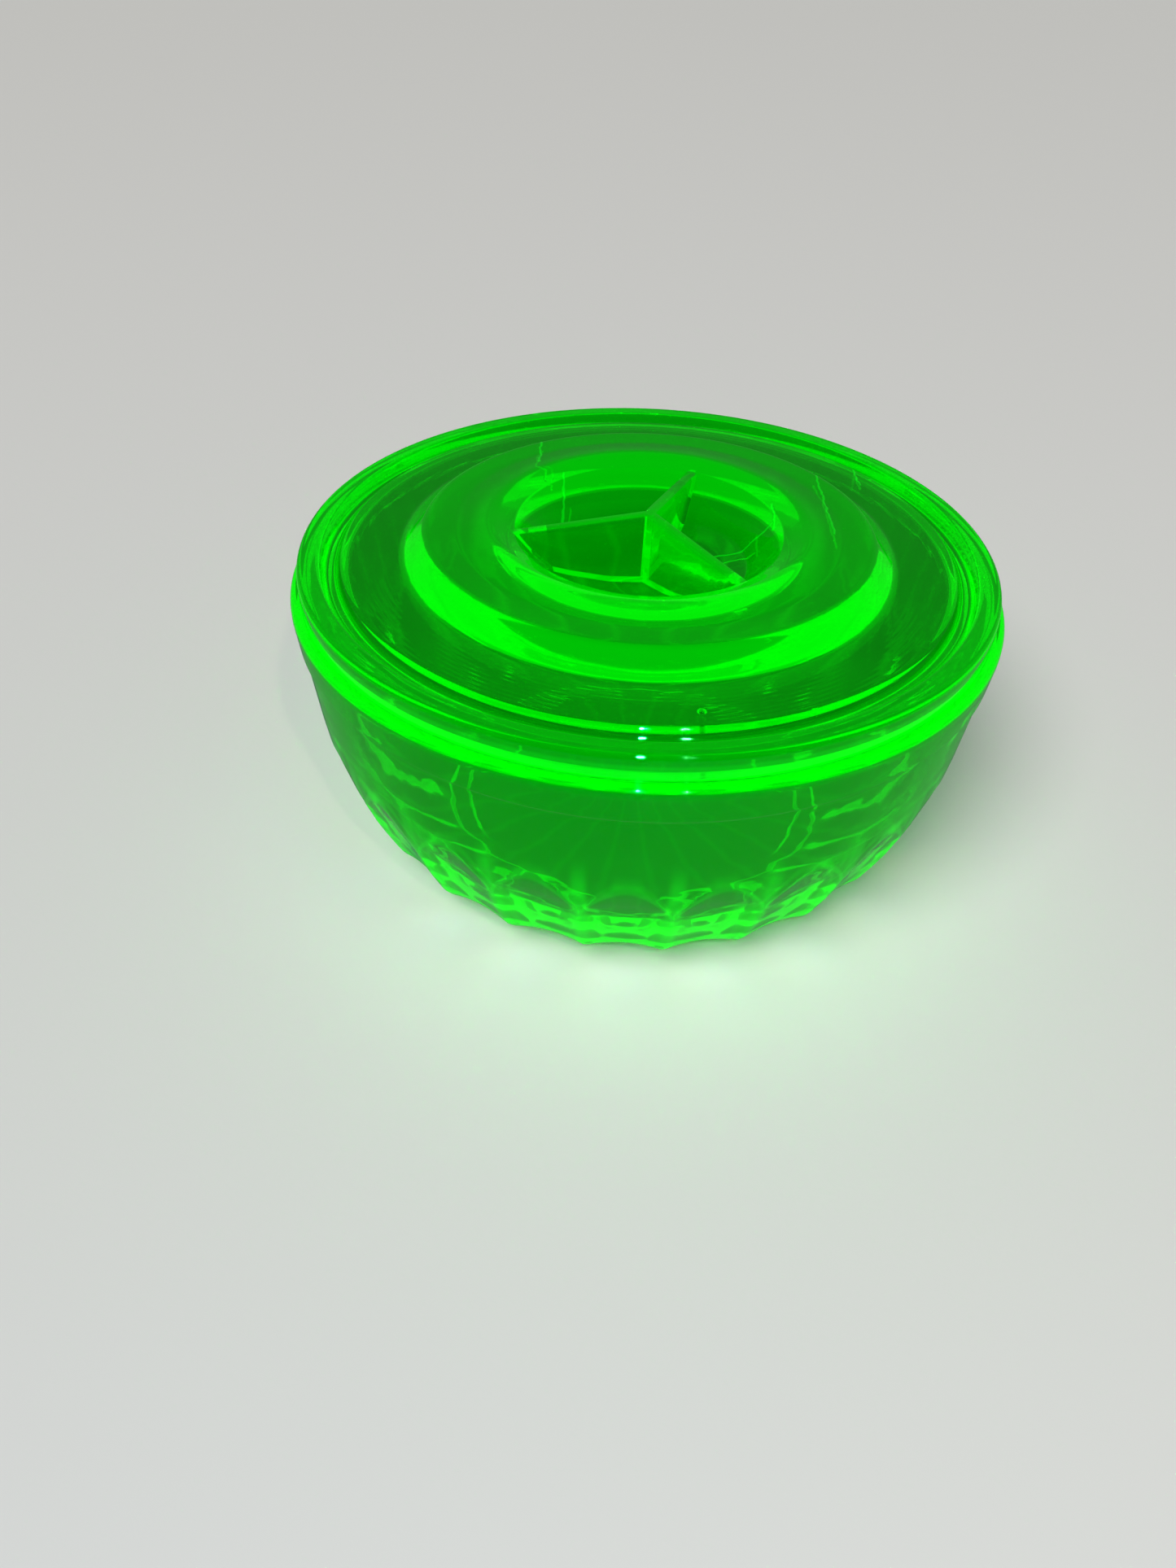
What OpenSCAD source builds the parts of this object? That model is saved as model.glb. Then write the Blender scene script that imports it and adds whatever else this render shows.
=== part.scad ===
// Covered glass bowl: a fluted round bowl and a loose lid whose grip is sunk into a well.
// Millimetres, Z up, origin at the centre of the foot on the surface it stands on.
// The front is -Y.

/* [Bowl] */
// Outer diameter over the rim
bowl_d = 170; // [164:1:172]
// Height from the table to the rim
bowl_h = 69.3; // [66.8:0.5:75.3]
// Thickness of the bowl's wall
wall_t = 4.6; // [4:0.2:5.6]
// Number of flutes round the lower wall
flute_count = 24; // [18:3:30]
// Depth of a flute at its deepest
flute_depth = 1.6; // [0.8:0.1:1.8]

/* [Lid] */
// Diameter of the lid over its rounded edge
lid_d = 165.6; // [163.2:0.4:166]
// Thickness of the lid's plate
lid_t = 4; // [3.4:0.2:4.6]
// Diameter of the raised round step
step_d = 117; // [112:1:120]
// Height of the raised step over the lid's edge
step_h = 5; // [3:0.5:7]
// Diameter of the well's mouth
well_d = 64; // [56:1:66]
// Depth of the well below its mouth
well_depth = 14; // [10:0.5:16]

/* [Grip] */
// Number of webs that cross the well
web_count = 3; // [2:1:4]
// Thickness of a web along its top
web_t = 3; // [2.4:0.2:4]
// Height of the webs' centre over the well's mouth
web_rise = 3.5; // [1:0.5:5]

/* [Hidden] */

$fn = 96;
arc_step = 4;         // Degrees between two points on a long arc
corner_step = 12;     // Degrees between two points on a small rounding

// How the two pieces happen to be turned, in degrees from +X
flute_turn = 12.5;
web_turn = 69;

// Bowl, outside, from the rim down
rim_r = bowl_d / 2;
rim_round = 1.4;
rim_band_h = 2.2;     // Straight band under the rim
collar_h = 8.4;       // Rim to the small step
collar_taper = 0.7;   // How much the collar narrows on its way down
step_in = 0.65;       // The small step under the collar
upper_slope = 6.5;    // Upper wall, in degrees from upright
upper_end = 27;       // Where the upper wall starts to curve, below the rim
belly_round = 80;
lower_slope = 25;     // Lower wall, in degrees from upright
lower_l = 6.5;        // Length of the straight lower wall
heel_round = 14;
heel_end = 75;        // Slope at the end of the heel
foot_r = 50;
foot_w = 4;
foot_recess = 1;

// Bowl, inside
floor_t = 5.6;
inner_heel = 22;
rim_swell = 0.4;      // How much thicker the wall is at the rim
mouth_r = rim_r - wall_t - rim_swell;

// Flutes
flute_share = 0.95;   // Width of a flute over its pitch
upper_scoop_slope = 19.8;
upper_scoop_depth = flute_depth * 0.75;
lower_scoop_slope = 33;
lower_scoop_depth = flute_depth * 1.1;
scoop_l = 80;
scoop_low = 0.4;      // Share of a scoop below its deepest line

// Lid, heights over its seat on the rim
lid_r = lid_d / 2;
edge_h = 6.5;
edge_round = 1.4;
edge_break = 0.5;     // Small bevel at the foot of the edge
bead_w = 5;           // Crest along the edge
groove_slope_w = 1.8;
groove_w = 1.6;       // Flat bottom of the groove inside the crest
groove_depth = 2.6;
shoulder_fall = 0.4;  // How much lower the shoulder is by the groove
step_r = step_d / 2;
step_w = 5.8;         // Width of the step's slope
shelf_w = 6.4;        // Flat on top of the step
ridge_rise = 1.5;     // Height of the ridge over the shelf
ridge_w = 5.3;        // From the ridge's crest to the well's mouth
well_r = well_d / 2;
mouth_drop = 0.7;     // How far the well's mouth lies under the shelf
well_wall_w = 7.5;
well_wall_foot = 4.6; // Height of the foot of the well's wall over the well's floor
well_floor_r = 19;
well_floor_rise = 2.9;
seat_w = 6.6;
ring_w = 3.8;         // Locating ring that drops into the bowl's mouth
ring_drop = 3.4;
ring_draft = 0.9;
soft = 1;             // Rounding of the lid's smaller corners
softer = 3;           // Rounding of its larger ones

shelf_h = edge_h + step_h;
mouth_h = shelf_h - mouth_drop;
well_floor_h = mouth_h - well_depth;
bulge_h = well_floor_h - lid_t;
under_h = edge_h - lid_t;

// Grip, heights over the seat
web_crest_h = mouth_h + web_rise;
web_root_h = mouth_h - well_depth - lid_t / 2;
web_bite = 1.6;       // How far a web runs into the well's wall
core_r = 2.2;

// Points of an arc about a centre, both ends included
function arc_points(centre, radius, from, to, step = arc_step) =
  let (count = ceil(abs(to - from) / step))
  [for (i = [0:count]) centre + radius * direction(from + (to - from) * i / count)];

function direction(angle) = [cos(angle), sin(angle)];

// An outline from corners (radius, height, rounding); the two ends stay sharp
function rounded(corners) =
  let (last = len(corners) - 1)
  [for (i = [0:last])
    each (i == 0 || i == last || corners[i][2] == 0)
      ? [flat(corners[i])]
      : corner_points(flat(corners[i]), flat(corners[i - 1]), flat(corners[i + 1]), corners[i][2])
  ];

function flat(corner) = [corner.x, corner.y];

function corner_points(corner, before, after, rounding) =
  let (
    from_before = atan2(before.y - corner.y, before.x - corner.x),
    from_after = atan2(after.y - corner.y, after.x - corner.x),
    opening = (from_after - from_before + 540) % 360 - 180,
    middle = from_before + opening / 2,
    centre = corner + rounding / sin(abs(opening) / 2) * direction(middle),
    side = sign(opening),
    start = from_before - side * 90
  )
  arc_points(centre, rounding, start, start - side * (180 - abs(opening)), corner_step);

// Outer wall of the bowl, as (radius, height)
step_z = bowl_h - collar_h - step_in;
wall_top = [rim_r - collar_taper - step_in, step_z];
upper_foot = [
  wall_top.x - (wall_top.y - bowl_h + upper_end) * tan(upper_slope),
  bowl_h - upper_end
];
belly_centre = upper_foot - belly_round * direction(-upper_slope);
belly_foot = belly_centre + belly_round * direction(-lower_slope);
lower_foot = belly_foot + lower_l * [-sin(lower_slope), -cos(lower_slope)];
heel_centre = lower_foot - heel_round * direction(-lower_slope);

// Each flute is two round scoops along the wall, one over the other
upper_cut = belly_centre + (belly_round - upper_scoop_depth) * direction(-upper_scoop_slope);
lower_cut = heel_centre + (heel_round - lower_scoop_depth) * direction(-lower_scoop_slope);
flute_w = flute_share * 2 * PI * belly_foot.x / flute_count;
scoop_r = 1 / (8 * flute_depth / pow(flute_w, 2) - cos(lower_slope) / belly_foot.x);

function bowl_outside() = concat(
  arc_points([rim_r - rim_round, bowl_h - rim_round], rim_round, 90, 0),
  [
    [rim_r, bowl_h - rim_band_h],
    [rim_r - collar_taper, bowl_h - collar_h],
    wall_top
  ],
  arc_points(belly_centre, belly_round, -upper_slope, -lower_slope),
  arc_points(heel_centre, heel_round, -lower_slope, -heel_end),
  [
    [foot_r + foot_recess, foot_recess],
    [foot_r, 0],
    [foot_r - foot_w, 0],
    [foot_r - foot_w - foot_recess, foot_recess]
  ]
);

// Inner wall: the outer one moved in by the wall's thickness
function bowl_inside() =
  let (
    floor_z = foot_recess + floor_t,
    low = belly_foot - wall_t * direction(-lower_slope),
    heel = [
      low.x - inner_heel * cos(lower_slope),
      floor_z + inner_heel
    ]
  )
  concat(
    [[0, floor_z]],
    arc_points(heel, inner_heel, -90, -lower_slope),
    arc_points(belly_centre, belly_round - wall_t, -lower_slope, -upper_slope),
    arc_points([mouth_r + rim_round, bowl_h - rim_round], rim_round, 180, 90)
  );

module bowl_body() {
  rotate_extrude()
    polygon(concat([[0, foot_recess]], bowl_inside(), bowl_outside()));
}

// A round scoop along the wall at one slope, with its deepest line through a point
module scoop(slope, deepest) {
  translate([deepest.x, 0, deepest.y])
    rotate([0, slope, 0])
      translate([scoop_r, 0, -scoop_l * scoop_low])
        cylinder(r = scoop_r, h = scoop_l);
}

module bowl() {
  color("limegreen")
    difference() {
      bowl_body();
      for (i = [0:flute_count - 1])
        rotate([0, 0, flute_turn + i * 360 / flute_count]) {
          scoop(upper_scoop_slope, upper_cut);
          scoop(lower_scoop_slope, lower_cut);
        }
    }
}

// Top of the lid, from its edge in to the middle of the well, heights over the seat
function lid_top() =
  let (
    groove_r = lid_r - bead_w - groove_slope_w,
    groove_h = edge_h - groove_depth,
    shelf_r = step_r - step_w
  )
  [
    [lid_r - edge_break, 0, 0],
    [lid_r, edge_break, 0],
    [lid_r, edge_h, edge_round],
    [lid_r - bead_w, edge_h, soft],
    [groove_r, groove_h, soft],
    [groove_r - groove_w, groove_h, soft],
    [groove_r - groove_w - groove_slope_w, edge_h - shoulder_fall, soft],
    [step_r, edge_h, soft],
    [shelf_r, shelf_h, soft],
    [shelf_r - shelf_w, shelf_h, softer],
    [well_r + ridge_w, shelf_h + ridge_rise, softer],
    [well_r, mouth_h, soft],
    [well_r - well_wall_w, well_floor_h + well_wall_foot, softer],
    [well_floor_r, well_floor_h + well_floor_rise, softer],
    [well_floor_r / 2, well_floor_h + well_floor_rise / 4, softer],
    [0, well_floor_h, 0]
  ];

// Underside of the lid, from the middle of the well's bulge out to the seat: plain but for
// the bulge and the locating ring
function lid_under() =
  let (
    ring_out = lid_r - seat_w,
    ring_in = ring_out - ring_w
  )
  [
    [0, bulge_h, 0],
    [well_floor_r, bulge_h + well_floor_rise * 0.8, softer],
    [well_r - well_wall_w + lid_t, bulge_h + well_wall_foot, softer],
    [well_r + lid_t, under_h, softer],
    [ring_in - ring_draft, under_h, softer / 2],
    [ring_in, -ring_drop, soft],
    [ring_out - ring_draft / 2, -ring_drop, soft],
    [ring_out, 0, 0]
  ];

// The webs' shared core and one web, whose crest falls from the core to the mouth
module web_core() {
  translate([0, 0, web_root_h])
    cylinder(r = core_r, h = web_crest_h - web_root_h);
}

module web() {
  web_end = well_r + web_bite;
  rotate([90, 0, 0])
    linear_extrude(height = web_t, center = true)
      polygon([
        [0, web_root_h],
        [well_floor_r, web_root_h + well_floor_rise * 0.8],
        [well_r - well_wall_w + lid_t / 2, web_root_h + well_wall_foot],
        [web_end, mouth_h - lid_t / 2],
        [web_end, mouth_h],
        [core_r, web_crest_h],
        [0, web_crest_h]
      ]);
}

module lid() {
  color("lawngreen")
    translate([0, 0, bowl_h]) {
      rotate_extrude()
        polygon(concat(rounded(lid_top()), rounded(lid_under())));
      web_core();
      for (i = [0:web_count - 1])
        rotate([0, 0, web_turn + i * 360 / web_count])
          web();
    }
}

bowl();
lid();
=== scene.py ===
"""A covered bowl of pressed glass that glows green under ultraviolet light.

The bowl is fluted round its lower wall. The lid lies loose in its mouth, with a grip of three
webs sunk into a well. Metres, Z up, origin at the centre of the foot, front at -Y.
"""

import math

import bmesh
import bpy
from bpy.props import FloatProperty, FloatVectorProperty, IntProperty, PointerProperty
from mathutils import Matrix, Vector


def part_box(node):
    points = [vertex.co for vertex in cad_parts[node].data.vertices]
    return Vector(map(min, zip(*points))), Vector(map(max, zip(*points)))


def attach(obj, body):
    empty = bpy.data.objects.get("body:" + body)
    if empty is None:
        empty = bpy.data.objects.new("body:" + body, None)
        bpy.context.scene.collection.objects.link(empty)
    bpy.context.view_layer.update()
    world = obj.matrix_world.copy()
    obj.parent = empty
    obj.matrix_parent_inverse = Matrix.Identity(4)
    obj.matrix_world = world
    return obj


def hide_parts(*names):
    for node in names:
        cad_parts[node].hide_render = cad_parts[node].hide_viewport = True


bl_info = {
    "name": "Covered glass bowl",
    "version": (1, 0, 0),
    "blender": (4, 5, 0),
    "location": "3D View > Sidebar > Glass Bowl",
    "description": "A fluted bowl of glowing pressed glass with a loose lid",
    "category": "Add Mesh",
}

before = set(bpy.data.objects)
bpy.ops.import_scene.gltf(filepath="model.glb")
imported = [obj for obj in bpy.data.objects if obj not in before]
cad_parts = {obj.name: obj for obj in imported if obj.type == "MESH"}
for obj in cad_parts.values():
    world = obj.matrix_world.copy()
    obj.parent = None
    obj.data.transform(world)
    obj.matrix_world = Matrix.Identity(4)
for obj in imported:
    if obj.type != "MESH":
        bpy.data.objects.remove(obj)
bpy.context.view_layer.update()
BOWL_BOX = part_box("bowl")
LID_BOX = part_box("lid")

BOWL_HEIGHT = BOWL_BOX[1][2]
RIM_RADIUS = BOWL_BOX[1][0]
LID_RADIUS = LID_BOX[1][0]
GRIP_TOP = LID_BOX[1][2]

ARC_STEP = math.radians(4)  # between two points on a rounded corner
STEPS_PER_FLUTE = 16
LID_STEPS = 320             # round the lid
INNER_SPACING = 0.0016      # longest stretch of an outline
OUTER_SPACING = 0.0012
WEB_STATIONS = 14           # along a web
BUBBLE_AT = (0.0095, -0.0665)
CREASE = math.radians(35)   # sharper edges than this stay sharp

WAVE_SCALE = 38.0           # patterns: how often they change in a metre
SMUDGE_AND_GLOW_PATCH_SCALE = 55.0
WOBBLE_SCALE = 260.0
PAINTED_PATCH_GLOW = 0.015         # painted glow that the random patches add, and what their smudges add to the roughness
SMUDGE_ROUGHNESS = 0.03
SMUDGE_TINT = 0.93          # share of the tint that a smudge leaves
FAINT_GLOW = 0.01           # over the whole surface
SCRATCH_HEIGHT = 0.00001
LINE_RATE = 5200.0          # radians of the mould's turning lines in a metre
LINE_HEIGHT = 0.000004
MARK_HEIGHT = 0.00006

FLOOR_REACH = 20
COOL_LAMP = ((-0.01, -0.62, 0.66), (0.35, 0.6, 1.0))   # place and colour
WARM_LAMP = ((0.16, -0.60, 0.66), (1.0, 0.85, 0.6))
LAMP_POWER = 40.0           # watts
LAMP_WIDTH = 0.03
LIGHT_AT = (-0.5, -0.9, 1.4)
LIGHT_TINT = (1.0, 0.99, 0.97)
LIGHT_STRENGTH = 3.3
LIGHT_SPREAD = math.radians(35)
GLASS_BOUNCES = 22          # enough to pass through every wall and back
MIRROR_BOUNCES = 16

# The shears' lines in the lid that run along Y, as (x, y, length)
SHEAR_LINES = (
    (-0.0278, 0.0380, 0.014),
    (-0.0210, 0.0180, 0.015),
    (0.0434, 0.0135, 0.032),
    (0.0565, 0.0405, 0.009),
    (0.0305, 0.0085, 0.008),
)


def length(name, description, default):
    """A size that a user can change, in metres."""
    return FloatProperty(name=name, description=description, default=default,
                         subtype="DISTANCE", unit="LENGTH")


def angle(name, description, degrees):
    """An angle that a user can change."""
    return FloatProperty(name=name, description=description, default=math.radians(degrees),
                         subtype="ANGLE", unit="ROTATION")


def amount(name, description, default):
    """A plain number that a user can change."""
    return FloatProperty(name=name, description=description, default=default, min=0.0)


def colour(name, description, default):
    """A linear colour that a user can change."""
    return FloatVectorProperty(name=name, description=description, default=default, subtype="COLOR",
                               min=0.0, max=1.0)


class BowlSizes(bpy.types.PropertyGroup):
    """Sizes of the bowl. Its height and its radius come from the frame."""

    wall: length("Wall", "Thickness of the wall at the mouth", 0.0050)
    floor: length("Floor", "Thickness of the floor", 0.0056)
    rim_round: length("Rim rounding", "Rounding of the rim", 0.0016)
    rim_band: length("Rim band", "Height of the upright band under the rim", 0.0022)
    collar: length("Collar", "Height of the collar under the rim", 0.0084)
    collar_taper: length("Collar taper", "How much the collar narrows downwards", 0.0007)
    collar_step: length("Collar step", "How far the wall steps in under the collar", 0.00065)
    belly: length("Belly", "Radius at which the upper and the lower wall would meet", 0.0801)
    belly_drop: length("Belly drop", "Depth of that corner below the rim", 0.03995)
    belly_round: length("Belly rounding", "Rounding of the belly", 0.080)
    heel: length("Heel", "Radius at which the lower wall and the base would meet", 0.0691)
    heel_drop: length("Heel drop", "Depth of that corner below the rim", 0.06356)
    heel_round: length("Heel rounding", "Rounding of the heel", 0.014)
    inner_belly: length("Inner belly", "Radius of the belly's corner inside", 0.0757)
    inner_belly_drop: length("Inner belly drop", "Depth of that corner below the rim", 0.0375)
    inner_belly_round: length("Inner belly rounding", "Rounding of the belly inside", 0.070)
    inner_heel: length("Inner heel", "Radius of the heel's corner inside", 0.0632)
    inner_heel_round: length("Inner heel rounding", "Rounding of the heel inside", 0.022)
    foot: length("Foot", "Outer radius of the foot ring", 0.0500)
    foot_width: length("Foot width", "Width of the foot ring", 0.0040)
    foot_recess: length("Foot recess", "Height of the foot ring", 0.0010)
    flutes: IntProperty(name="Flutes", description="Number of flutes round the wall", default=24, min=6)
    flute_turn: angle("Flute turn", "Angle of the first flute from +X", 12.5)
    flute_depth: length("Flute depth", "Depth of a flute at its deepest", 0.0016)
    flute_drop: length("Flute drop", "Depth below the rim at which the flutes begin", 0.0295)
    flute_run: length("Flute run", "Height over which a flute reaches its full width", 0.014)


class LidSizes(bpy.types.PropertyGroup):
    """Sizes of the lid. Its radius and its top come from the frame."""

    plate: length("Plate", "Thickness of the lid's plate", 0.004)
    edge: length("Edge", "Height of the lid's edge over the rim", 0.0065)
    edge_round: length("Edge rounding", "Rounding of the lid's edge", 0.0014)
    crest: length("Crest", "Width of the flat crest along the edge", 0.0050)
    groove: length("Groove", "Width of the groove's flat bottom", 0.0016)
    groove_slope: length("Groove slope", "Width of each of the groove's slopes", 0.0018)
    groove_depth: length("Groove depth", "Depth of the groove inside the crest", 0.0026)
    step_radius: length("Step radius", "Radius of the foot of the raised step", 0.0585)
    step: length("Step", "Height of the raised step", 0.005)
    step_slope: length("Step slope", "Width of the step's slope", 0.0056)
    shelf: length("Shelf", "Width of the flat on the step", 0.0071)
    ridge: length("Ridge", "From the ridge's crest to the well's mouth", 0.0053)
    ridge_rise: length("Ridge rise", "Height of the ridge over the shelf", 0.0015)
    well_radius: length("Well radius", "Radius of the well's mouth", 0.032)
    well_depth: length("Well depth", "Depth of the well below its mouth", 0.014)
    well_drop: length("Well drop", "How far the well's mouth lies under the shelf", 0.0007)
    well_wall: length("Well wall", "Width of the well's sloping wall", 0.0075)
    well_foot: length("Well foot", "Height of the wall's foot over the well's floor", 0.0046)
    well_floor: length("Well floor", "Radius of the well's hollow floor", 0.0190)
    well_hollow: length("Well hollow", "How much the well's floor is hollowed", 0.0029)
    seat: length("Seat", "Width of the seat on the rim", 0.0066)
    ring: length("Ring", "Width of the locating ring", 0.0038)
    ring_drop: length("Ring drop", "Height of the locating ring", 0.0034)
    web: length("Web", "Thickness of a web along its top", 0.003)
    web_soft: length("Web rounding", "Rounding of a web's edges", 0.0005)
    web_draft: angle("Web draft", "Slope of a web's sides", 2.0)
    webs: IntProperty(name="Webs", description="Number of webs in the grip", default=3, min=2)
    web_turn: angle("Web turn", "Angle of the first web from +X", 69.0)
    bubble: length("Bubble", "Radius of the air bubble in the plate", 0.0010)


class GlassLook(bpy.types.PropertyGroup):
    """Looks of the glass."""

    tint: colour("Tint", "What one face of the glass lets through", (0.04, 0.6, 0.06))
    gloss: colour("Gloss", "Tint of what the glass mirrors", (0.05, 1.0, 0.25))
    depth: colour("Depth", "Tint that thick glass takes on", (0.0, 0.93, 0.0))
    depth_density: amount("Depth density", "How fast thick glass takes on its tint", 300.0)
    glow: colour("Glow", "Light that the glass gives off", (0.0, 1.0, 0.01))
    glow_density: amount("Glow density", "Light given off in each metre of glass", 26.0)
    ior: amount("Refraction", "Index of refraction", 1.5)
    waviness: length("Waviness", "Height of the pressed glass's waves", 0.00022)


class StageLook(bpy.types.PropertyGroup):
    """Camera, floor and light."""

    floor: colour("Floor", "Colour of the floor", (0.62, 0.62, 0.60))
    floor_in_glass: colour("Floor in glass", "Colour that the glass shows of the floor", (0.08, 0.09, 0.08))
    room: colour("Room", "Colour behind the floor", (0.60, 0.61, 0.60))
    room_in_glass: colour("Room in glass", "Colour that the glass shows of the room", (0.072, 0.076, 0.080))
    pitch: angle("Pitch", "How far the camera looks down", 39.8)
    roll: angle("Roll", "How far the camera leans", 1.86)
    eye: FloatVectorProperty(name="Eye", description="Where the camera stands", subtype="TRANSLATION",
                             default=(-0.01248, -0.25444, 0.21182))
    lens: FloatProperty(name="Lens", description="Focal length over a 36 mm high picture", default=27.03,
                        subtype="DISTANCE_CAMERA")


# Outlines --------------------------------------------------------------------------------------

def rounded(corners):
    """An outline of (radius, height) points from corners (radius, height, rounding)."""
    points = []
    last = len(corners) - 1
    for i, (r, z, rounding) in enumerate(corners):
        corner = Vector((r, z))
        if i in (0, last) or rounding == 0:
            points.append(corner)
            continue
        before = Vector(corners[i - 1][:2]) - corner
        after = Vector(corners[i + 1][:2]) - corner
        turn = math.pi - before.angle(after)
        reach = rounding * math.tan(turn / 2)
        start = corner + before.normalized() * reach
        end = corner + after.normalized() * reach
        centre = corner + (before.normalized() + after.normalized()).normalized() * (
            rounding / math.cos(turn / 2))
        steps = max(2, math.ceil(turn / ARC_STEP))
        arm, span = start - centre, end - centre
        side = 1 if arm.x * span.y - arm.y * span.x > 0 else -1
        for k in range(steps + 1):
            sweep = side * turn * k / steps
            points.append(centre + Matrix.Rotation(sweep, 2) @ arm)
    return points


def spaced(points, longest):
    """The same outline with no stretch longer than the given one."""
    result = [points[0]]
    for a, b in zip(points, points[1:]):
        count = max(1, math.ceil((b - a).length / longest))
        result += [a.lerp(b, k / count) for k in range(1, count + 1)]
    return result


def outline_normals(points):
    """For each point of an outline, its normal to the left of the way it runs."""
    normals = []
    for i in range(len(points)):
        along = points[min(i + 1, len(points) - 1)] - points[max(i - 1, 0)]
        normals.append(Vector((-along.y, along.x)).normalized())
    return normals


def smooth_step(low, high, value):
    """0 at low, 1 at high, smooth between. Low may be the larger of the two."""
    t = min(max((value - low) / (high - low), 0.0), 1.0)
    return t * t * (3 - 2 * t)


def revolve(points, segments, place=None):
    """A closed turned mesh from an outline with both ends on the axis.

    place(index, point, turn) may move each point.
    """
    mesh = bmesh.new()
    rings = []
    for i, point in enumerate(points):
        if i in (0, len(points) - 1):
            rings.append([mesh.verts.new((0, 0, point.y))] * segments)
            continue
        ring = []
        for k in range(segments):
            turn = 2 * math.pi * k / segments
            r, z = place(i, point, turn) if place else point
            ring.append(mesh.verts.new((r * math.cos(turn), r * math.sin(turn), z)))
        rings.append(ring)
    for low, high in zip(rings, rings[1:]):
        for k in range(segments):
            n = (k + 1) % segments
            corners = []
            for vertex in (low[k], low[n], high[n], high[k]):
                if vertex not in corners:
                    corners.append(vertex)
            mesh.faces.new(corners)
    bmesh.ops.recalc_face_normals(mesh, faces=mesh.faces)
    return mesh


def add_object(name, mesh, material):
    """Puts a finished mesh in the scene."""
    data = bpy.data.meshes.new(name)
    mesh.to_mesh(data)
    mesh.free()
    data.materials.append(material)
    thing = bpy.data.objects.new(name, data)
    bpy.context.scene.collection.objects.link(thing)
    return thing


def add_piece(name, mesh, material, part):
    """A piece that rides on a body and stands in for the CAD node of the same name."""
    piece = add_object(name, mesh, material)
    piece.data.shade_smooth()
    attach(piece, part)
    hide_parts(part)
    return piece


# Bowl and lid ----------------------------------------------------------------------------------

def bowl_inside(sizes):
    """Corners from the middle of the bowl's floor up to its rim."""
    floor = sizes.foot_recess + sizes.floor
    return [
        (0.0, floor, 0),
        (sizes.inner_heel, floor, sizes.inner_heel_round),
        (sizes.inner_belly, BOWL_HEIGHT - sizes.inner_belly_drop, sizes.inner_belly_round),
        (RIM_RADIUS - sizes.wall, BOWL_HEIGHT, sizes.rim_round),
    ]


def bowl_outside(sizes):
    """Corners from the bowl's rim down to the middle of its base."""
    top, recess = BOWL_HEIGHT, sizes.foot_recess
    foot_inside = sizes.foot - sizes.foot_width
    collar_foot = RIM_RADIUS - sizes.collar_taper
    return [
        (RIM_RADIUS, top, sizes.rim_round),
        (RIM_RADIUS, top - sizes.rim_band, sizes.rim_round),
        (collar_foot, top - sizes.collar, sizes.collar_step / 2),
        (collar_foot - sizes.collar_step, top - sizes.collar - sizes.collar_step, sizes.collar_step),
        (sizes.belly, top - sizes.belly_drop, sizes.belly_round),
        (sizes.heel, top - sizes.heel_drop, sizes.heel_round),
        (sizes.foot + recess, recess, recess),
        (sizes.foot, 0.0, recess / 2),
        (foot_inside, 0.0, recess / 2),
        (foot_inside - recess, recess, recess),
        (0.0, recess, 0),
    ]


def fluting(sizes, normals, inside_count):
    """A function that sinks the flutes into the outer wall's points."""
    top = BOWL_HEIGHT - sizes.flute_drop
    pitch = 2 * math.pi / sizes.flutes
    softness = (0.06 * sizes.flute_depth) ** 2

    def fluted(i, point, turn):
        if i < inside_count or point.y > top:
            return point
        reach = smooth_step(top, top - sizes.flute_run, point.y)
        reach *= smooth_step(sizes.foot, sizes.foot + 0.01, point.x)
        across = 2 * (((turn - sizes.flute_turn) / pitch + 0.5) % 1.0) - 1
        cut = sizes.flute_depth * (reach - across ** 2)
        return point - normals[i] * (cut + math.sqrt(cut * cut + softness)) / 2

    return fluted


class GLASSBOWL_OT_bowl(bpy.types.Operator):
    """Make the bowl with its flutes"""

    bl_idname = "glassbowl.bowl"
    bl_label = "Bowl"

    def execute(self, context):
        sizes = context.scene.glass_bowl_sizes
        inside, outside = bowl_inside(sizes), bowl_outside(sizes)
        inner = spaced(rounded(inside + outside[:1])[:-1], INNER_SPACING)
        outer = spaced(rounded(inside[-1:] + outside)[1:], OUTER_SPACING)
        points = inner + outer
        place = fluting(sizes, outline_normals(points), len(inner))
        mesh = revolve(points, sizes.flutes * STEPS_PER_FLUTE, place)
        look = context.scene.glass_bowl_look
        glass = glass_material("bowl_glass", look, sizes, bowl_glow, bowl_relief)
        add_piece("bowl_glass", mesh, glass, "bowl")
        return {"FINISHED"}


def lid_heights(sizes):
    """Heights over the table of the lid's edge, shelf, well mouth, well floor and underside."""
    edge = BOWL_HEIGHT + sizes.edge
    shelf = edge + sizes.step
    mouth = shelf - sizes.well_drop
    return edge, shelf, mouth, mouth - sizes.well_depth, edge - sizes.plate


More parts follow.
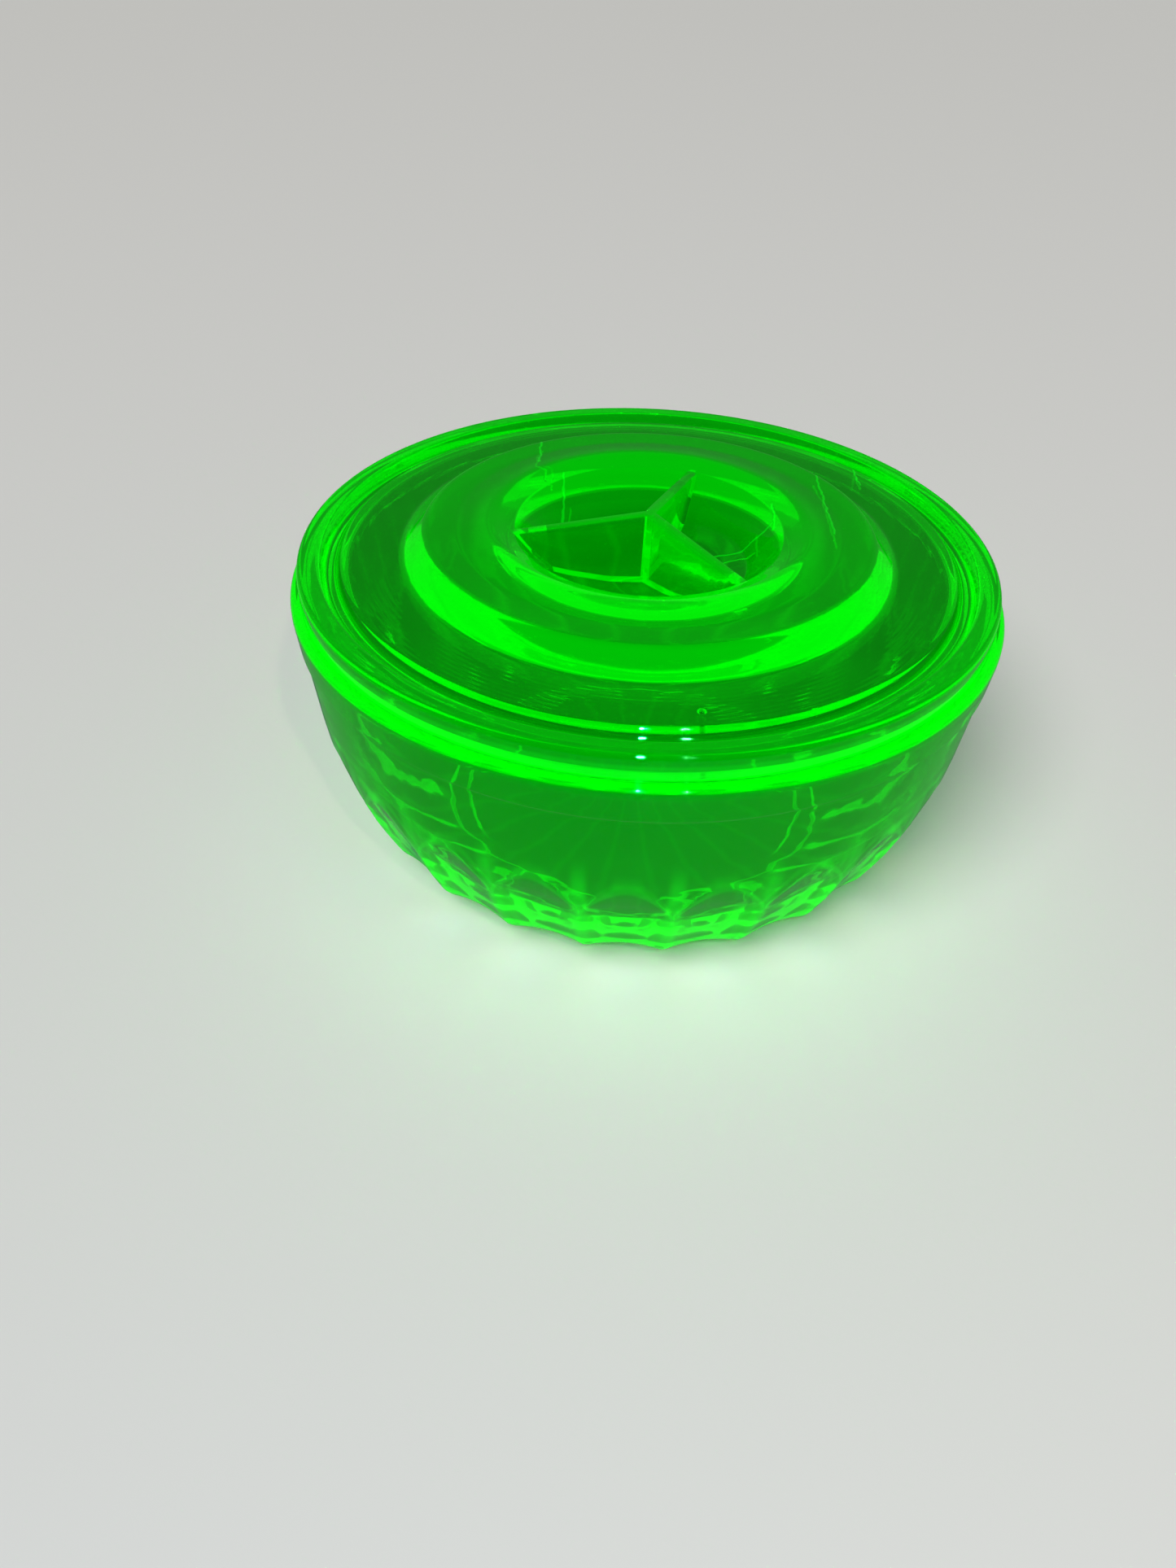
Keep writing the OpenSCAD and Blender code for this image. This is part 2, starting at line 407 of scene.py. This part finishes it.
def lid_top(sizes):
    """Corners from the middle of the well over the lid to the foot of its edge."""
    edge, shelf, mouth, floor, _ = lid_heights(sizes)
    well, step = sizes.well_radius, sizes.step_radius
    step_top = step - sizes.step_slope
    groove = LID_RADIUS - sizes.crest - sizes.groove_slope
    groove_end = groove - sizes.groove
    groove_floor = edge - sizes.groove_depth
    soft = sizes.edge_round
    return [
        (0.0, floor, 0),
        (sizes.well_floor / 2, floor + sizes.well_hollow / 4, 14 * soft),
        (sizes.well_floor, floor + sizes.well_hollow, 8 * soft),
        (well - sizes.well_wall, floor + sizes.well_foot, 2 * soft),
        (well, mouth, soft),
        (well + sizes.ridge, shelf + sizes.ridge_rise, 4 * soft),
        (step_top - sizes.shelf, shelf, 6 * soft),
        (step_top, shelf, 2.4 * soft),
        (step, edge, 2.4 * soft),
        (groove_end - sizes.groove_slope, edge - 0.3 * soft, soft),
        (groove_end, groove_floor, 0.7 * soft),
        (groove, groove_floor, 0.7 * soft),
        (LID_RADIUS - sizes.crest, edge, soft),
        (LID_RADIUS, edge, soft),
        (LID_RADIUS, BOWL_HEIGHT, 0.4 * soft),
    ]


def lid_under(sizes):
    """Corners from the lid's seat inwards to the middle of the well's bulge."""
    _, _, _, floor, under = lid_heights(sizes)
    soft = sizes.edge_round
    ring = LID_RADIUS - sizes.seat
    ring_inside = ring - sizes.ring
    ring_foot = BOWL_HEIGHT - sizes.ring_drop
    bulge = floor - sizes.plate
    return [
        (ring, BOWL_HEIGHT, 0.2 * soft),
        (ring - 0.3 * soft, ring_foot, 0.7 * soft),
        (ring_inside, ring_foot, 0.7 * soft),
        (ring_inside - 0.6 * soft, under, soft),
        (sizes.well_radius + sizes.plate, under, 2 * soft),
        (sizes.well_radius - sizes.well_wall + sizes.plate, bulge + sizes.well_foot, 4 * soft),
        (sizes.well_floor, bulge + 0.8 * sizes.well_hollow, 14 * soft),
        (0.0, bulge, 0),
    ]


def web_section(sizes, crest, root):
    """Points across a web, from the root on one side over the crest to the root on the other."""
    half, soft = sizes.web / 2, sizes.web_soft
    spread = half + (crest - root) * math.tan(sizes.web_draft)
    side = [
        (spread, root),
        (half + 0.2 * soft, crest - 1.6 * soft),
        (half - 0.4 * soft, crest - 0.4 * soft),
        (half - 1.4 * soft, crest),
    ]
    return [(-across, height) for across, height in side] + side[::-1]


def web_mesh(sizes, turn):
    """One web, from just past the middle of the well into its wall; its crest falls outwards."""
    mesh = bmesh.new()
    _, _, mouth, floor, _ = lid_heights(sizes)
    root = floor - sizes.plate / 2
    start, end = -sizes.web / 3, sizes.well_radius + sizes.plate / 2
    core = sizes.web / 2
    way = Matrix.Rotation(turn, 3, "Z")
    rings = []
    for i in range(WEB_STATIONS + 1):
        along = start + (end - start) * i / WEB_STATIONS
        crest = GRIP_TOP + (mouth - GRIP_TOP) * max(0.0, (along - core) / (end - core))
        rise = smooth_step(0.4 * end, end, along)
        bottom = root + rise * (mouth - sizes.plate / 2 - root)
        section = web_section(sizes, crest, bottom)
        rings.append([mesh.verts.new(way @ Vector((along, *point))) for point in section])
    for a, b in zip(rings, rings[1:]):
        for k in range(len(a)):
            n = (k + 1) % len(a)
            mesh.faces.new((a[k], a[n], b[n], b[k]))
    mesh.faces.new(rings[0])
    mesh.faces.new(rings[-1])
    bmesh.ops.recalc_face_normals(mesh, faces=mesh.faces)
    return mesh


def fused(base, added):
    """The base object's mesh with the added meshes fused into one skin."""
    helpers = []
    for i, mesh in enumerate(added):
        data = bpy.data.meshes.new("added")
        mesh.to_mesh(data)
        mesh.free()
        helper = bpy.data.objects.new("added", data)
        bpy.context.scene.collection.objects.link(helper)
        modifier = base.modifiers.new(f"fuse_{i}", "BOOLEAN")
        modifier.operation = "UNION"
        modifier.solver = "EXACT"
        modifier.object = helper
        helpers.append(helper)
    graph = bpy.context.evaluated_depsgraph_get()
    result = bpy.data.meshes.new_from_object(base.evaluated_get(graph))
    base.modifiers.clear()
    base.data = result
    for helper in helpers:
        bpy.data.objects.remove(helper)


def add_bubble(base, place, radius):
    """An air bubble shut in the glass: a small ball whose faces look inward."""
    mesh = bmesh.new()
    mesh.from_mesh(base.data)
    ball = bmesh.ops.create_icosphere(mesh, subdivisions=3, radius=radius,
                                      matrix=Matrix.Translation(place))
    faces = {face for vertex in ball["verts"] for face in vertex.link_faces}
    bmesh.ops.reverse_faces(mesh, faces=list(faces))
    mesh.to_mesh(base.data)
    mesh.free()


class GLASSBOWL_OT_lid(bpy.types.Operator):
    """Make the lid with its well and grip"""

    bl_idname = "glassbowl.lid"
    bl_label = "Lid"

    def execute(self, context):
        sizes = context.scene.glass_lid_sizes
        points = spaced(rounded(lid_top(sizes) + lid_under(sizes)), OUTER_SPACING)
        look = context.scene.glass_bowl_look
        glass = glass_material("lid_glass", look, sizes, lid_glow, lid_relief)
        lid = add_piece("lid_glass", revolve(points, LID_STEPS), glass, "lid")
        turns = [sizes.web_turn + 2 * math.pi * i / sizes.webs for i in range(sizes.webs)]
        fused(lid, [web_mesh(sizes, turn) for turn in turns])
        middle = lid_heights(sizes)[0] - sizes.plate / 2
        add_bubble(lid, Vector((*BUBBLE_AT, middle)), sizes.bubble)
        lid.data.shade_smooth()
        lid.data.set_sharp_from_angle(angle=CREASE)
        return {"FINISHED"}


# Materials -------------------------------------------------------------------------------------

class Field:
    """A node socket that Python's operators work on."""

    def __init__(self, tree, socket):
        self.tree = tree
        self.socket = socket

    def node(self, kind, settings=(), output=0, **inputs):
        """Adds a node: its type, its settings, then its sockets by name or by position (_0, _1)."""
        made = self.tree.nodes.new(kind)
        for name, value in dict(settings).items():
            setattr(made, name, value)
        for name, value in inputs.items():
            key = int(name[1:]) if name[0] == "_" else name.replace("_", " ")
            if isinstance(value, Field):
                self.tree.links.new(value.socket, made.inputs[key])
            else:
                made.inputs[key].default_value = value
        return Field(self.tree, made.outputs[output])

    def math(self, operation, *values):
        """A Math node on the given values."""
        return self.node("ShaderNodeMath", {"operation": operation},
                         **{f"_{i}": value for i, value in enumerate(values)})

    def __add__(self, other):
        return self.math("ADD", self, other)

    def __radd__(self, other):
        return self.math("ADD", other, self)

    def __sub__(self, other):
        return self.math("SUBTRACT", self, other)

    def __rsub__(self, other):
        return self.math("SUBTRACT", other, self)

    def __mul__(self, other):
        return self.math("MULTIPLY", self, other)

    def __rmul__(self, other):
        return self.math("MULTIPLY", other, self)

    def __truediv__(self, other):
        return self.math("DIVIDE", self, other)

    def __rtruediv__(self, other):
        return self.math("DIVIDE", other, self)

    def __pow__(self, other):
        return self.math("POWER", self, other)

    def __abs__(self):
        return self.math("ABSOLUTE", self)

    def fraction(self):
        return self.math("FRACT", self)

    def sine(self):
        return self.math("SINE", self)

    def ramp(self, low, high):
        """0 up to low, 1 from high, smooth between."""
        return self.node("ShaderNodeMapRange", {"interpolation_type": "SMOOTHSTEP"},
                         _0=self, _1=low, _2=high, _3=0.0, _4=1.0)

    def band(self, centre, width, soft):
        """1 within half a width of the centre, falling to 0 over a soft edge."""
        return 1.0 - abs(self - centre).ramp(width / 2, width / 2 + soft)

    def noise(self, scale, detail=2.0):
        """Noise over the place that this vector gives, from 0 to 1."""
        return self.node("ShaderNodeTexNoise", Vector=self, Scale=scale, Detail=detail)

    def colour(self, low, high):
        """A colour between two, by this value."""
        return self.node("ShaderNodeMix", {"data_type": "RGBA"}, output=2,
                         _0=self, _6=(*low, 1), _7=(*high, 1))


class Surface:
    """Places on a turned piece: across, along and up, distance from the axis and angle."""

    def __init__(self, material):
        tree = material.node_tree
        place = tree.nodes.new("ShaderNodeTexCoord")
        self.place = Field(tree, place.outputs["Object"])
        split = tree.nodes.new("ShaderNodeSeparateXYZ")
        tree.links.new(self.place.socket, split.inputs[0])
        self.x, self.y, self.z = (Field(tree, socket) for socket in split.outputs)
        self.radius = (self.x ** 2 + self.y ** 2) ** 0.5
        self.angle = self.x.math("ARCTAN2", self.y, self.x)


def shear_marks_and_glints(at):
    """Short wavy lines that the shears left in the lid: one along X, the others along Y. Their painted
    highlight uses the same mask.
    """
    swing, width, soft, end_soft = 0.0016, 0.0002, 0.0003, 0.001
    wobble = (at.place.noise(WOBBLE_SCALE) - 0.5) * swing
    found = (at.y + wobble).band(0.0065, width, soft) * at.x.band(0.0205, 0.018, end_soft)
    for x, y, reach in SHEAR_LINES:
        found = found + (at.x + wobble).band(x, width, soft) * at.y.band(y, reach, end_soft)
    return found


def scratches(at, share):
    """Fine short scratches that run round the piece, on a share of it."""
    across, along = 900.0, 9.0
    turned = at.x.node("ShaderNodeCombineXYZ",
                       _0=at.radius * across, _1=at.angle * along, _2=at.z * across)
    soft = 0.03
    return turned.noise(1.0, 3.0).ramp(1.0 - share, 1.0 + soft - share)


def bowl_glow(at, sizes):
    """How brightly the bowl's surface glows as painted light: along the ridges and arches, the rim and the
    heel.
    """
    top = BOWL_HEIGHT - sizes.flute_drop
    share = ((at.angle - sizes.flute_turn) / (2 * math.pi / sizes.flutes)).fraction()
    from_ridge = abs(share - 0.5)
    ridge_middle, ridge_height, ridge_fade = 0.024, 0.026, 0.010
    ridge = from_ridge.band(0.0, 0.05, 0.10) * at.z.band(ridge_middle, ridge_height, ridge_fade)
    reach = 1.0 - at.z.ramp(top - sizes.flute_run, top)
    arch = abs(reach - (1.0 - 2.0 * from_ridge) ** 2).band(0.0, 0.05, 0.12)
    arch = arch * at.z.band(top - sizes.flute_run / 2, 0.012, 0.003)
    rim_depth, rim_full = 0.0035, 0.0015
    rim = at.z.ramp(BOWL_HEIGHT - rim_depth, BOWL_HEIGHT - rim_full)
    low_full, low_end = 0.012, 0.036
    low = 1.0 - at.z.ramp(low_full, low_end)
    return FAINT_GLOW + ridge * 0.12 + arch * 0.10 + rim * 0.03 + low * 0.06


def bowl_relief(at, sizes):
    """Height of the bowl's fine relief."""
    return scratches(at, 0.30) * SCRATCH_HEIGHT


def lid_glow(at, sizes):
    """How brightly the lid's surface glows as painted light: the step, the ridge, the edge, and a highlight
    on the shears' lines.
    """
    slope = sizes.step_slope
    step = at.radius.band(sizes.step_radius - slope / 2, 0.7 * slope, 0.4 * slope)
    ridge_in, ridge_width, ridge_fade = 0.0040, 0.0060, 0.0040
    ridge = at.radius.band(sizes.well_radius + ridge_in, ridge_width, ridge_fade)
    outermost = at.radius.ramp(LID_RADIUS - 0.0006, LID_RADIUS - 0.0003)
    face, face_end = 0.0036, 0.0046
    edge = outermost * (1.0 - at.z.ramp(BOWL_HEIGHT + face, BOWL_HEIGHT + face_end))
    crest_in, crest_width, crest_fade = 0.0030, 0.0034, 0.0012
    crest = at.radius.band(LID_RADIUS - crest_in, crest_width, crest_fade)
    rings = step * 0.05 + ridge * 0.04 + edge * 0.12 + crest * 0.05
    # The shears' lines get a painted highlight, brighter than the rest of the glow.
    return FAINT_GLOW + rings + shear_marks_and_glints(at) * 0.25


def lid_relief(at, sizes):
    """Height of the lid's fine relief: the mould's turning lines, scratches and the shears' lines."""
    lines = (at.radius * LINE_RATE).sine()
    lines = lines * at.radius.ramp(sizes.step_radius + 0.0015, 0.066)
    return lines * LINE_HEIGHT + scratches(at, 0.34) * SCRATCH_HEIGHT + shear_marks_and_glints(at) * MARK_HEIGHT


def glass_material(name, look, sizes, glow_at, relief_at):
    """Green glass that glows, most where much of it lies behind a point."""
    material = bpy.data.materials.new(name)
    material.use_nodes = True
    tree = material.node_tree
    tree.nodes.clear()
    at = Surface(material)
    tool = at.x
    relief = at.place.noise(WAVE_SCALE, 3.0) * look.waviness + relief_at(at, sizes)
    # Random patches: smudges that darken the tint a little and roughen the glass, and a painted brighter
    # glow in the same places.
    smudge_and_glow_patch = at.place.noise(SMUDGE_AND_GLOW_PATCH_SCALE, 4.0).ramp(0.35, 0.75)
    glow = glow_at(at, sizes) + smudge_and_glow_patch * PAINTED_PATCH_GLOW
    glass = tool.node(
        "ShaderNodeBsdfPrincipled",
        Base_Color=smudge_and_glow_patch.colour(look.tint, [SMUDGE_TINT * part for part in look.tint]),
        Roughness=smudge_and_glow_patch * SMUDGE_ROUGHNESS,
        IOR=look.ior,
        Transmission_Weight=1.0,
        Specular_Tint=(*look.gloss, 1),
        Emission_Color=glow.colour((0.0, 0.0, 0.0), look.glow),
        Emission_Strength=1.0,
        Normal=tool.node("ShaderNodeBump", Strength=1.0, Distance=1.0, Height=relief),
    )
    light = tool.node("ShaderNodeEmission", Color=(*look.glow, 1), Strength=look.glow_density)
    shade = tool.node("ShaderNodeVolumeAbsorption", Color=(*look.depth, 1), Density=look.depth_density)
    out = tree.nodes.new("ShaderNodeOutputMaterial")
    tree.links.new(glass.socket, out.inputs["Surface"])
    tree.links.new(tool.node("ShaderNodeAddShader", _0=light, _1=shade).socket, out.inputs["Volume"])
    return material


# Stage -----------------------------------------------------------------------------------------

def seen_or_in_glass(tree, seen, in_glass):
    """One colour for the camera, another for what the glass mirrors or bends."""
    path = tree.nodes.new("ShaderNodeLightPath")
    return Field(tree, path.outputs["Is Camera Ray"]).colour(in_glass, seen)


def floor_material(look):
    """A plain matt floor."""
    material = bpy.data.materials.new("floor")
    material.use_nodes = True
    tree = material.node_tree
    shader = tree.nodes["Principled BSDF"]
    shader.inputs["Roughness"].default_value = 0.8
    tint = seen_or_in_glass(tree, look.floor, look.floor_in_glass)
    tree.links.new(tint.socket, shader.inputs["Base Color"])
    return material


def room_world(look):
    """A plain room behind the floor."""
    world = bpy.data.worlds.new("room")
    world.use_nodes = True
    tree = world.node_tree
    tint = seen_or_in_glass(tree, look.room, look.room_in_glass)
    tree.links.new(tint.socket, tree.nodes["Background"].inputs["Color"])
    return world


def add_camera(scene, look):
    """The camera, over the front of the bowl."""
    camera = bpy.data.cameras.new("camera")
    camera.lens = look.lens
    camera.clip_start = 0.01
    eye = bpy.data.objects.new("camera", camera)
    turn = Matrix.Rotation(math.pi / 2 - look.pitch, 4, "X") @ Matrix.Rotation(look.roll, 4, "Z")
    eye.matrix_world = Matrix.Translation(look.eye) @ turn
    scene.collection.objects.link(eye)
    scene.camera = eye


def aimed(name, data, place):
    """A light at a place, turned to the bowl."""
    thing = bpy.data.objects.new(name, data)
    thing.location = place
    way = Vector((0, 0, BOWL_HEIGHT)) - thing.location
    thing.rotation_euler = way.to_track_quat("-Z", "Y").to_euler()
    bpy.context.scene.collection.objects.link(thing)
    return thing


def add_soft_light():
    """Even light for the floor, left out of what the glass mirrors."""
    light = bpy.data.lights.new("soft light", "SUN")
    light.angle = LIGHT_SPREAD
    light.energy = LIGHT_STRENGTH
    light.color = LIGHT_TINT
    thing = aimed("soft light", light, LIGHT_AT)
    thing.visible_glossy = False
    thing.visible_transmission = False


def add_lamp(name, place, tint):
    """A small lamp for the glints on the glass, left out of the matt light on the floor."""
    light = bpy.data.lights.new(name, "AREA")
    light.shape = "DISK"
    light.size = LAMP_WIDTH
    light.energy = LAMP_POWER
    light.color = tint
    aimed(name, light, place).visible_diffuse = False


class GLASSBOWL_OT_stage(bpy.types.Operator):
    """Set the floor, the lights and the camera"""

    bl_idname = "glassbowl.stage"
    bl_label = "Stage"

    def execute(self, context):
        scene = context.scene
        look = scene.glass_bowl_stage
        mesh = bmesh.new()
        bmesh.ops.create_grid(mesh, x_segments=1, y_segments=1, size=FLOOR_REACH)
        floor = add_object("floor", mesh, floor_material(look))
        add_camera(scene, look)
        add_soft_light()
        add_lamp("cool lamp", *COOL_LAMP)
        add_lamp("warm lamp", *WARM_LAMP)
        scene.world = room_world(look)
        scene.view_settings.view_transform = "Standard"
        scene.cycles.max_bounces = GLASS_BOUNCES
        scene.cycles.transmission_bounces = GLASS_BOUNCES
        scene.cycles.glossy_bounces = MIRROR_BOUNCES
        return {"FINISHED"}


class GLASSBOWL_PT_panel(bpy.types.Panel):
    """Lists the pieces"""

    bl_idname = "GLASSBOWL_PT_panel"
    bl_label = "Covered Glass Bowl"
    bl_space_type = "VIEW_3D"
    bl_region_type = "UI"
    bl_category = "Glass Bowl"

    def draw(self, context):
        for name in ("glassbowl.bowl", "glassbowl.lid", "glassbowl.stage"):
            self.layout.operator(name)


CLASSES = (
    BowlSizes, LidSizes, GlassLook, StageLook,
    GLASSBOWL_OT_bowl, GLASSBOWL_OT_lid, GLASSBOWL_OT_stage, GLASSBOWL_PT_panel,
)


def register():
    for item in CLASSES:
        bpy.utils.register_class(item)
    bpy.types.Scene.glass_bowl_sizes = PointerProperty(type=BowlSizes)
    bpy.types.Scene.glass_lid_sizes = PointerProperty(type=LidSizes)
    bpy.types.Scene.glass_bowl_look = PointerProperty(type=GlassLook)
    bpy.types.Scene.glass_bowl_stage = PointerProperty(type=StageLook)


def unregister():
    for name in ("glass_bowl_sizes", "glass_lid_sizes", "glass_bowl_look", "glass_bowl_stage"):
        delattr(bpy.types.Scene, name)
    for item in reversed(CLASSES):
        bpy.utils.unregister_class(item)


def main():
    register()
    bpy.ops.glassbowl.bowl()
    bpy.ops.glassbowl.lid()
    bpy.ops.glassbowl.stage()


if __name__ == "__main__":
    main()
